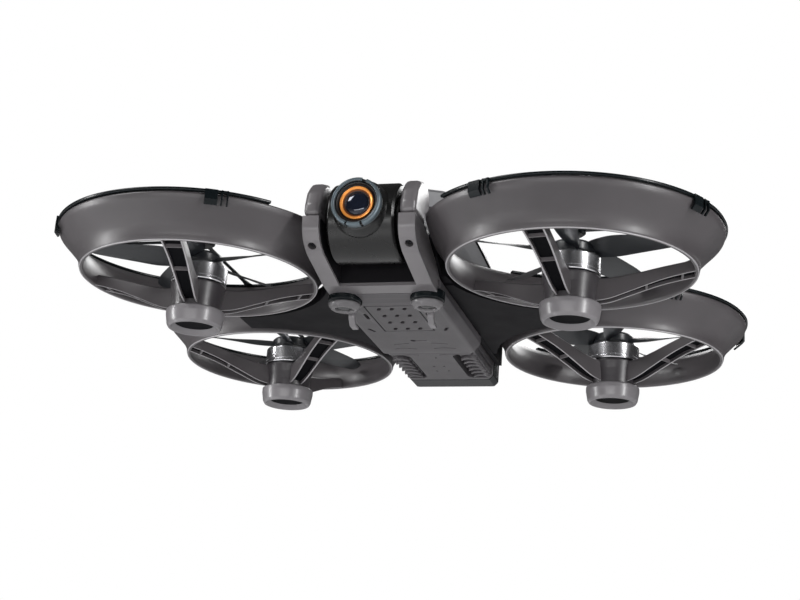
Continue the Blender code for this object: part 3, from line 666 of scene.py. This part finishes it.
# ---- fork and camera ------------------------------------------------------------------------
def pivot_hole(side):
    hole = lathe([(0, -4), (2.7, -4), (2.7, 4), (0, 4)], 40)
    return moved(hole, (side * (ARM_IN + 1), TILT_Y, TILT_Z), ("Y", 90))


def fork_screw_hole(side):
    hole = lathe([(0, -3), (1.45, -3), (1.45, 4.6), (0, 4.6)], 32)
    x, y, rise = FORK_SCREW
    return moved(hole, (side * x, y, RIM_Z + rise), ("X", FORK_SCREW_TILT))


def sensor_socket(side):
    socket = lathe([(0, -12), (6.1, -12), (6.1, -2.4), (0, -2.4)], 48)
    return moved(socket, (side * SENSOR.x, SENSOR.y, RIM_Z))


def make_bay_shade_sheets():
    """Black plates on the inner faces of the fork's arms and on the wall behind the camera: painted
    shade in the camera bay.
    """
    z = RIM_Z
    cheek = [(-78.2, z + 7.0), (-79.0, SEAM_Z - 0.4), (-62.6, SEAM_Z - 0.4), (-61.6, z + 9.2)]
    cheek += [(-52.9, z + 5.6), (-52.9, z - 2.9), (-72.7, z + 1.5), (-76.2, z + 3.7)]
    cheek = fillet(cheek, [1, 1, 1, 4, 0, 0, 6, 3], 4)
    plates = [prism(cheek, side * ARM_IN - 0.12, side * ARM_IN + 0.12, "X") for side in (-1, 1)]
    wall = [(-ARM_IN, z - 2.7), (ARM_IN, z - 2.7), (ARM_IN, z + 6.4), (-ARM_IN, z + 6.4)]
    plates.append(prism(fillet(wall, 0.8), -52.9, -52.3, "Y"))
    piece("bay_shade_sheets", merged(plates), "airframe", "frame_black")


def make_fork():
    z = RIM_Z
    below = [(-45.7, z - 4.4), (-53.0, z - 3.8), (-73.0, z + 0.6), (-77.4, z + 3.0)]
    front = [(-79.8, z + 6.4), (-80.4, SEAM_Z)]
    behind = [(-62.0, SEAM_Z), (-61.0, z + 9.4), (-50.0, z + 5.0), (-44.0, z + 1.6)]
    behind += [(-38.6, z + 0.8), (-38.6, z + 0.4), (-45.7, z + 0.4)]
    outline = fillet(below + front + behind, [0.3, 2, 9, 6, 6, 0, 0, 1, 6, 3, 0.1, 0.1, 0], 6)
    bay = [(-90.0, z - 8), (-52.6, z - 8), (-52.3, z + 20), (-90.0, z + 20)]
    cuts = [
        prism(fillet(bay, [0, 0.5, 0.5, 0]), -ARM_IN, ARM_IN, "X"),
        box((-17.5, 17.5), (NOSE_Y - 0.3, -30), (z + 0.1, z + 20)),
    ]
    for side in (-1, 1):
        cuts += [pivot_hole(side), fork_screw_hole(side), sensor_socket(side)]
    fork = prism(outline, -ARM_OUT, ARM_OUT, "X")
    piece("fork", fork, "airframe", "cap_grey", ["front_yoke"], cuts, bevel=1.1)
    for label, side in SIDES.items():
        cap = [(-80.4, SEAM_Z + 0.25), (-80.2, z + 15.6), (-78.8, z + 20.4), (-75.2, z + 24.4)]
        cap += [(-70.0, z + 26.1), (-65.4, z + 25.9), (-62.2, z + 24.0), (-61.6, z + 20.5)]
        cap += [(-62.0, SEAM_Z + 0.25)]
        cap = fillet(cap, [0, 3, 5, 5, 5, 3, 3, 3, 0], 5)
        low, high = sorted((side * ARM_IN, side * ARM_OUT))
        name, nodes, holes = f"fork_cap_{label}", [f"yoke_cap_{label}"], [pivot_hole(side)]
        made = prism(cap, low, high, "X")
        piece(name, made, "airframe", "cap_grey", nodes, holes, bevel=1.7)
        badge = lathe(fillet([(0, 0), (2.6, 0), (2.6, 0.35), (0, 0.35)], [0, 0, 0.2, 0]), 40)
        badge = moved(badge, (side * (ARM_OUT - 0.3), TILT_Y, TILT_Z), ("Y", 90 * side))
        piece(f"pivot_plug_{label}", badge, "airframe", "dark_metal")


def along_lens(profile, steps=96, start=0.0, sweep=360.0):
    """A profile turned about the lens axis: its heights count forward from the tilt axis."""
    return moved(lathe(profile, steps, start, sweep), (0, TILT_Y, LENS_Z), ("X", 90))


def make_camera():
    """The drum and the pieces of the lens."""
    w = DRUM_HALF_W
    skin = [(0, -w), (9.4, -w), (9.6, 0.5 - w), (DRUM_R - 0.9, 0.5 - w), (DRUM_R, 1.4 - w)]
    skin += [(r, -h) for r, h in skin[::-1]]
    drum = lathe(fillet(skin, [0, 0.1, 0.1, 0.4, 0.6, 0.6, 0.4, 0.1, 0.1, 0]), 144)
    drum = moved(drum, (0, TILT_Y, TILT_Z), ("Y", 90))
    bore = along_lens([(0, -4), (7.7, -4), (7.7, LENS_FRONT + 3), (0, LENS_FRONT + 3)])
    piece("drum_skin", drum, "camera", "camera_black", ["camera_drum"], [bore])

    f = LENS_FRONT
    barrel = [(7.6, 2), (9.8, 2), (9.75, f - 6.6), (9.2, f - 5.0), (8.6, f - 3.6)]
    barrel += [(8.5, f - 2.4), (7.6, f - 2.4)]
    barrel = along_lens(fillet(barrel, [0, 0, 1.5, 1.0, 0.5, 0.2, 0.1]))
    piece("lens_shroud", barrel, "camera", "camera_black")
    inner = [(0, f - 4.4), (7.4, f - 4.4), (7.4, f - 1.6), (6.9, f - 0.9), (6.6, f - 1.0)]
    inner += [(6.2, f - 1.7), (5.8, f - 1.9), (5.7, f - 2.6), (0, f - 2.6)]
    inner = fillet(inner, [0, 0, 0.2, 0.2, 0.1, 0.1, 0.1, 0.1, 0])
    piece("lens_tube", along_lens(inner), "camera", "lens_black", ["lens_barrel"])
    ridge = fillet([(3.85, f - 2.7), (4.15, f - 2.7), (4.15, f - 1.75), (3.85, f - 1.95)], 0.1)
    piece("lens_retainer", along_lens(ridge), "camera", "lens_black")

    ring = [(7.5, f - 2.6), (8.35, f - 2.6), (8.35, f - 0.5), (7.95, f), (7.3, f), (7.1, f - 0.5)]
    ring = fillet(ring, 0.18)
    parts = [along_lens(ring, 64, start, sweep) for start, sweep in ((78, 168), (290, 136))]
    parts.append(along_lens(ring, 16, 252, 32))
    piece("bezel_ring", merged(parts), "camera", "bezel_steel", ["lens_bezel"])
    seat = fillet([(7.3, f - 2.7), (8.1, f - 2.7), (8.1, f - 0.9), (7.3, f - 0.9)], 0.1)
    piece("bezel_seat", along_lens(seat), "camera", "lens_black")

    accent = [(4.75, f - 2.6), (5.65, f - 2.5), (5.65, f - 1.35), (5.4, f - 1.25), (4.75, f - 1.6)]
    accent = fillet(accent, 0.12)
    accent, nodes = along_lens(accent), ["lens_accent_ring"]
    piece("accent_ring", accent, "camera", "accent_orange", nodes)
    # A dark brown band inside the orange ring: painted shade on its inner slope.
    step = fillet([(4.1, f - 2.6), (4.7, f - 2.6), (4.7, f - 1.75), (4.1, f - 2.1)], 0.08)
    piece("accent_shade_step", along_lens(step), "camera", "accent_shade_brown")
    dome = [(3.9, f - 2.4), (3.7, f - 1.95), (2.6, f - 1.45), (1.3, f - 1.25), (0, f - 1.2)]
    dome = smooth_line(dome, 6)
    glass = along_lens([(0, f - 2.4)] + dome)
    piece("front_element", glass, "camera", "lens_glass", ["lens_glass"])


# ---- belly, sensors, battery ----------------------------------------------------------------
def arc_groove(centre, radius, start, stop, width=0.45):
    """A cutter for a shallow curved groove in the belly."""
    x, y = centre
    half = width / 2
    angles = [math.radians(start + (stop - start) * i / 14) for i in range(15)]
    far, near = radius + half, radius - half
    outline = [(x + far * math.cos(a), y + far * math.sin(a)) for a in angles]
    outline += [(x + near * math.cos(a), y + near * math.sin(a)) for a in angles[::-1]]
    return prism(outline, RIM_Z - 8, RIM_Z - 5.6)


def floor_section(half, edge, rise=0.0):
    """The belly's section: a flat floor with sloped sides, raised by rise at the nose."""
    z = RIM_Z
    corner = [(half - rise, z - 6 + rise), (edge, z - 2.5), (edge, z + 0.1)]
    outline = [(-x, h) for x, h in corner] + corner[::-1]
    return fillet(outline, [2.2, 1.6, 0.1, 0.1, 1.6, 2.2], 5)


def make_belly():
    z = RIM_Z
    sections = []
    for y, rise in ((-45.4, 1.6), (-42.5, 0.9), (-39.5, 0.25), (-36, 0.0), (BELLY_BACK_Y, 0.0)):
        sections.append([(x, y, h) for x, h in floor_section(17.5, 19.8, rise)])
    cuts = [box((-9.4, 9.4), (-37.0, -7.9), (z - 9, z - 4.9)), arc_groove((0, 37), 30.0, 250, 262)]
    cuts += [arc_groove((0, 37), 30.0, 278, 290)]
    for side in (-1, 1):
        cuts.append(sensor_socket(side))
        slot = prism(slot_outline(6.2, 1.3), z - 9, z - 5)
        cuts.append(moved(slot, (side * 11.2, -25.5, 0)))
        nick = prism(slot_outline(4.2, 1.2), z - 9, z - 5)
        cuts.append(moved(nick, (side * 13.8, -9.5, 0), ("Z", side * 24)))
        cuts.append(arc_groove((side * 7.5, 22.5), 9.0, 245, 300))
    slit = prism(slot_outline(6.0, 0.7), z - 9, z - 5.2)
    cuts.append(moved(moved(slit, turn=("Z", 90)), (0.4, 4.2, 0)))
    cuts.append(moved(lathe([(0, -9), (1.05, -9), (1.05, -5.2), (0, -5.2)], 24), (-1.8, 4.0, z)))
    skin = loft(sections)
    piece("belly_skin", skin, "airframe", "belly_grey", ["belly_shell"], cuts)

    panel = fillet([(-9.0, -36.6), (9.0, -36.6), (9.0, -8.3), (-9.0, -8.3)], 0.7)
    panel = prism(panel, z - 6.05, z - 5.0)
    slots = []
    for row in range(4):
        for column in (-1, 0, 1):
            slot = prism(slot_outline(3.0, 1.4), z - 8, z - 5.1)
            moved(slot, turn=("Z", 24))
            slots.append(moved(slot, (column * 4.6, -33.6 + row * 7.6, 0)))
    nodes = ["vent_panel"]
    piece("vent_grille", panel, "airframe", "belly_grey", nodes, slots, bevel=0.18)
    # A near-black plate behind the vent slots: painted shade seen through them.
    shade_plate = box((-9.8, 9.8), (-37.4, -7.5), (z - 4.98, z - 4.6))
    piece("vent_shade_plate", shade_plate, "airframe", "shade_black", bevel=0.1)


def make_sensors():
    z = RIM_Z
    for label, side in SIDES.items():
        place = (side * SENSOR.x, SENSOR.y, z)
        collar = [(0, -6.4), (5.2, -6.4), (5.8, -5.8), (5.8, -2.8), (0, -2.8)]
        collar = fillet(collar, [0, 0.2, 0.3, 0.1, 0])
        collar = moved(lathe(collar, 72), place)
        piece(f"sensor_collar_{label}", collar, "airframe", "guard_black")
        rim = [(3.0, -6.4), (5.4, -6.4), (5.7, -6.9), (5.4, -7.6)]
        rim += [(4.5, -8.55), (3.7, -8.8), (3.2, -8.5), (3.0, -8.0)]
        rim = moved(lathe(fillet(rim, [0, 0.2, 0.3, 0.5, 0.5, 0.3, 0.2, 0]), 72), place)
        nodes = [f"sensor_housing_{label}"]
        piece(f"sensor_rim_{label}", rim, "airframe", "sensor_grey", nodes)
        eye = smooth_line([(3.05, -7.6), (2.2, -8.1), (1.1, -8.3), (0, -8.35)], 4)
        eye = moved(lathe([(0, -7.4), (3.05, -7.4)] + eye, 48), place)
        nodes = [f"sensor_lens_{label}"]
        piece(f"sensor_eye_{label}", eye, "airframe", "sensor_glass", nodes)
        fin = [(-35.0, z - 6.2), (-34.6, z - 9.2), (-32.4, z - 11.6), (-28.2, z - 11.7)]
        fin += [(-28.2, z - 10.8), (-31.4, z - 10.4), (-32.8, z - 8.6), (-32.6, z - 6.2)]
        low, high = sorted((side * 13.0, side * 15.2))
        made = prism(fillet(fin, [0, 2, 2, 0.4, 0.4, 1.5, 1.5, 0]), low, high, "X")
        name, nodes = f"landing_fin_{label}", [f"skid_fin_{label}"]
        piece(name, made, "airframe", "foot_grey", nodes, bevel=0.3)


def battery_dot(x, y):
    """A cutter for a small round mark in the battery's underside."""
    return moved(lathe([(0, -9), (0.45, -9), (0.45, -5.6), (0, -5.6)], 16), (x, y, RIM_Z))


def make_battery():
    """The slide-out pack, its band and the pale lines on it, the latches, the button and the charge
    lamps.
    """
    z = RIM_Z
    front, back = BATTERY_LOW.y, BATTERY_HIGH.y
    half = BATTERY_HIGH.x
    outline = [(-half + 1.6, z - 6), (half - 1.6, z - 6), (half, z - 4.4), (half, z + 12.2)]
    outline += [(half - 1.4, z + 13.6), (-half + 1.4, z + 13.6), (-half, z + 12.2)]
    outline += [(-half, z - 4.4)]
    outline = fillet(outline, 1.6, 4)
    cuts = []
    for side in (-1, 1):
        near, far = side * 8.2, side * (half + 4)
        room = [(near, 22.6), (far, 22.6), (far, 54.6), (near, 54.6)]
        cuts.append(prism(fillet(room, [3.5, 0, 0, 3.5], 6), z - 10, z - 1.6))
        cuts.append(battery_dot(side * 2.4, 44.5))
        cuts.append(battery_dot(side * 2.0, 38.2))
        cuts.append(arc_groove((side * 7.5, 31.0), 9.0, 245, 292))
    cuts.append(battery_dot(1.4, 26.6))
    well = lathe([(0, -3), (3.35, -3), (3.35, 2.4), (0, 2.4)], 48)
    cuts.append(moved(well, (0, back, z + 6), ("X", 90)))
    case = prism(outline, front, back, "Y")
    nodes = ["battery_pack"]
    piece("battery_case", case, "battery", "belly_grey", nodes, cuts, bevel=0.5)
    strip = [(-half + 1.4, z - 6.12), (half - 1.4, z - 6.12), (half + 0.12, z - 4.5)]
    strip += [(half + 0.12, z + 12.3), (half - 0.2, z + 12.3), (half - 0.2, z - 4.3)]
    strip += [(half - 1.6, z - 5.7), (-half + 1.6, z - 5.7), (-half + 0.2, z - 4.3)]
    strip += [(-half + 0.2, z + 12.3), (-half - 0.12, z + 12.3), (-half - 0.12, z - 4.5)]
    band = prism(fillet(strip, 0.5, 3), 57.0, back - 1.2, "Y")
    piece("battery_band", band, "battery", "guard_black", bevel=0.1)
    for label, side in SIDES.items():
        make_latch(label, side)
        # A thin pale vertical line across the dark band on each side.
        reach = sorted((side * (half - 0.1), side * (half + 0.14)))
        pale_line = box(reach, (63.4, 63.9), (z - 3.6, z + 11.6))
        piece(f"battery_seam_{label}", pale_line, "battery", "cover_grey")
    cap = [(0, -1.0), (2.7, -1.0), (3.0, -0.7), (3.0, 0.4), (2.7, 0.6), (1.6, 0.45), (0, 0.4)]
    button = lathe(fillet(cap, [0, 0.2, 0.2, 0.2, 0.2, 0.3, 0]), 48)
    button = moved(button, (0, back, z + 6), ("X", 90))
    piece("button_cap", button, "power_button", "dark_metal", ["power_button"])
    for index in range(4):
        lamp = lathe(fillet([(0, -0.4), (0.55, -0.4), (0.55, 0.1), (0, 0.15)], [0, 0, 0.1, 0]), 20)
        lamp = moved(lamp, (-4.2 + index * 2.8, back, z + 0.4), ("X", 90))
        piece(f"charge_lamp_{index + 1}", lamp, "battery", "cover_grey")


def make_latch(label, side):
    """A release grip: a hollowed thumb pad with raised curved ribs."""
    low, high = box_mm(f"battery_latch_{label}")
    x_in, x_out = sorted((abs(low.x), abs(high.x)))
    base = [(x_in, low.y), (x_out, low.y), (x_out, high.y), (x_in, high.y)]
    base = [(side * x, y) for x, y in fillet(base, [2.6, 0.8, 0.8, 2.6], 6)]
    pad = prism(base, low.z + 1.4, high.z)
    parts = [pad]
    middle_x = side * (x_in + x_out) / 2
    reach = (x_out - x_in) / 2 - 0.15
    for index in range(6):
        y = low.y + 6.0 + index * 4.6
        outline = []
        shares = [-1 + i / 6 for i in range(13)]
        for thick in (1.0, -1.0):
            points = [(t, y + 2.2 * (t * t) + thick * 0.75) for t in shares]
            outline += points if thick > 0 else points[::-1]
        outline = [(middle_x + t * reach, at) for t, at in outline]
        parts.append(prism(outline, low.z, high.z - 1.0))
    hollow = lathe([(0, -5), (2.6, -5), (2.6, 2.4), (0, 2.4)], 40)
    cuts = [moved(hollow, (middle_x, low.y + 2.4, low.z))]
    name, nodes = f"release_grip_{label}", [f"battery_latch_{label}"]
    grip, body = merged(parts), f"latch_{label}"
    piece(name, grip, body, "belly_grey", nodes, cuts, bevel=0.35)


# ---- top cover ------------------------------------------------------------------------------
def cover_section(narrow, drop):
    """The top cover's section, narrowed and lowered towards the nose and tail."""
    z = RIM_Z
    half = [(19.8 - narrow * 0.3, z + 14.3), (23.6 - narrow, z + 18.0 - drop * 0.2)]
    half += [(26.6 - narrow, z + 22.5 - drop * 0.5), (26.2 - narrow, z + 26.4 - drop * 0.7)]
    half += [(21.5 - narrow, z + 30.0 - drop * 0.9), (12.0 - narrow, z + 31.6 - drop)]
    outline = [(-x, h) for x, h in half] + half[::-1]
    return fillet(outline, [0.4, 3, 4, 4, 5, 8, 8, 5, 4, 4, 3, 0.4], 5)


def make_cover():
    z = RIM_Z
    line = [(NOSE_Y, 1.0, 1.2), (-46.0, 0.0, 0.0), (10.0, 1.5, 0.6)]
    line += [(44.0, 5.0, 4.4), (TAIL_Y, 8.0, 12.0)]
    sections = []
    for y, narrow, drop in smooth_line(line, 6):
        sections.append([(x, y, h) for x, h in cover_section(max(0, narrow), max(0, drop))])
    cuts = []
    for side in (-1, 1):
        for index in range(5):
            slot = prism(slot_outline(9.0, 1.3), z + 26, z + 40)
            moved(slot, turn=("Z", side * 58))
            cuts.append(moved(slot, (side * 8.2, -26 + index * 3.6, 0)))
        intake = [(side * 8, z + 17), (side * 17, z + 17), (side * 19, z + 24), (side * 8, z + 25)]
        cuts.append(prism(fillet(intake, 1.5), -56, -49.5, "Y"))
    skin, nodes = loft(sections), ["top_shell"]
    piece("cover_skin", skin, "airframe", "cover_grey", nodes, cuts, bevel=0.9)
    for label, side in SIDES.items():
        trim = []
        for y, narrow, drop in smooth_line(line, 6):
            x = 26.9 - max(0, narrow)
            h = z + 22.4 - drop * 0.5
            near, far = side * (x - 0.9), side * x
            section = [(near, h - 0.5), (far, h - 0.3), (far, h + 0.3), (near, h + 0.5)]
            trim.append([(a, y, b) for a, b in section])
        strip = loft(trim[2:-3])
        piece(f"cover_trim_{label}", strip, "airframe", "guard_black")
    lamp = prism(slot_outline(7.0, 1.6), z + 31.0, z + 31.75)
    moved(lamp, turn=("Z", 90))
    moved(lamp, (0, 20, -0.1))
    piece("status_lamp", lamp, "airframe", "accent_orange", bevel=0.2)


# ---- everything -----------------------------------------------------------------------------
for corner in CORNERS:
    make_duct(corner)
    make_foot(corner)
    make_guard(corner)
    make_motor(corner)
    make_propeller(corner)
make_fork()
make_bay_shade_sheets()
make_camera()
make_belly()
make_sensors()
make_battery()
make_cover()

CAD_FINISH = {
    "mid_frame": "frame_black",
    "main_board": "board_green",
    "image_sensor": "board_green",
    "heat_sink": "sink_metal",
    "fan_rotor": "frame_black",
    "battery_connector": "frame_black",
    "camera_pivot_left": "dark_metal",
    "camera_pivot_right": "dark_metal",
    "yoke_screw_left": "dark_metal",
    "yoke_screw_right": "dark_metal",
}
for corner in CORNERS:
    CAD_FINISH[f"motor_stator_{corner}"] = "dark_metal"
for node, finish in CAD_FINISH.items():
    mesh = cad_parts[node].data
    mesh.materials.clear()
    mesh.materials.append(M[finish])


# ---- stage, light and camera ----------------------------------------------------------------
def make_floor():
    """A pale floor, far enough down to be under a camera that looks up at the drone."""
    bm = bmesh.new()
    bmesh.ops.create_grid(bm, x_segments=8, y_segments=8, size=6.0)
    bmesh.ops.translate(bm, vec=(0, 0, FLOOR_Z), verts=bm.verts)
    mesh = bpy.data.meshes.new("floor")
    bm.to_mesh(mesh)
    bm.free()
    floor = bpy.data.objects.new("floor", mesh)
    bpy.context.scene.collection.objects.link(floor)
    pale = surface("floor_white", (0.72, 0.72, 0.73), 0.7, tone=0.02, scale=0.05, shine=0.1)
    glow = pale.node_tree.nodes["Principled BSDF"]
    glow.inputs["Emission Color"].default_value = (1, 1, 1, 1)
    glow.inputs["Emission Strength"].default_value = 0.17
    mesh.materials.append(pale)


def area_light(name, place, target, size, power, color=(1, 1, 1)):
    data = bpy.data.lights.new(name, "AREA")
    data.shape = "RECTANGLE"
    data.size, data.size_y = size
    data.energy = power
    data.color = color
    lamp = bpy.data.objects.new(name, data)
    bpy.context.scene.collection.objects.link(lamp)
    lamp.location = place
    aim = Vector(target) - Vector(place)
    lamp.rotation_euler = aim.to_track_quat("-Z", "Y").to_euler()
    return lamp


def make_world(seen, lit):
    """A white surround. The camera sees it at the seen strength, and it lights at the lit one."""
    world = bpy.data.worlds.new("studio")
    world.use_nodes = True
    bpy.context.scene.world = world
    nodes, links = world.node_tree.nodes, world.node_tree.links
    background = nodes["Background"]
    background.inputs["Color"].default_value = (1, 1, 1, 1)
    path = nodes.new("ShaderNodeLightPath")
    strength = nodes.new("ShaderNodeMapRange")
    strength.inputs["To Min"].default_value = lit
    strength.inputs["To Max"].default_value = seen
    links.new(path.outputs["Is Camera Ray"], strength.inputs["Value"])
    links.new(strength.outputs["Result"], background.inputs["Strength"])


def make_camera_view():
    azimuth, elevation, roll, distance = 0.2741, -0.3114, 0.0662, 0.6216
    target = Vector((-0.0067, 0, 0.0261))
    level_out = math.cos(elevation)
    back = (math.sin(azimuth) * level_out, -math.cos(azimuth) * level_out, math.sin(elevation))
    back = Vector(back)
    level = Vector((math.cos(azimuth), math.sin(azimuth), 0))
    rise = back.cross(level)
    right = math.cos(roll) * level + math.sin(roll) * rise
    up = math.cos(roll) * rise - math.sin(roll) * level
    data = bpy.data.cameras.new("camera")
    data.lens = 76.07
    data.sensor_width = 36
    data.clip_start = 0.01
    camera = bpy.data.objects.new("camera", data)
    bpy.context.scene.collection.objects.link(camera)
    camera.matrix_world = Matrix((right, up, back)).transposed().to_4x4()
    camera.location = target + back * distance
    bpy.context.scene.camera = camera


make_floor()
make_world(seen=1.0, lit=0.07)
area_light("key", (-0.75, -0.75, 0.75), (0, 0, 0.02), (0.5, 0.35), 7.5)
area_light("front_fill", (0.0, -1.1, -0.16), (0, 0, 0.02), (0.9, 0.1), 2.4)
area_light("right_strip", (0.95, -0.5, 0.2), (0, 0, 0.02), (0.1, 0.9), 11)
area_light("left_strip", (-0.95, -0.3, 0.0), (0, 0, 0.02), (0.08, 0.8), 7)
area_light("back_rim", (0.2, 1.0, 0.55), (0, 0, 0.02), (0.9, 0.3), 4.5)
area_light("floor_bounce", (-0.2, -0.25, -0.28), (0, 0, 0.02), (0.4, 0.25), 0.25)
make_camera_view()
bpy.context.scene.view_settings.view_transform = "Standard"
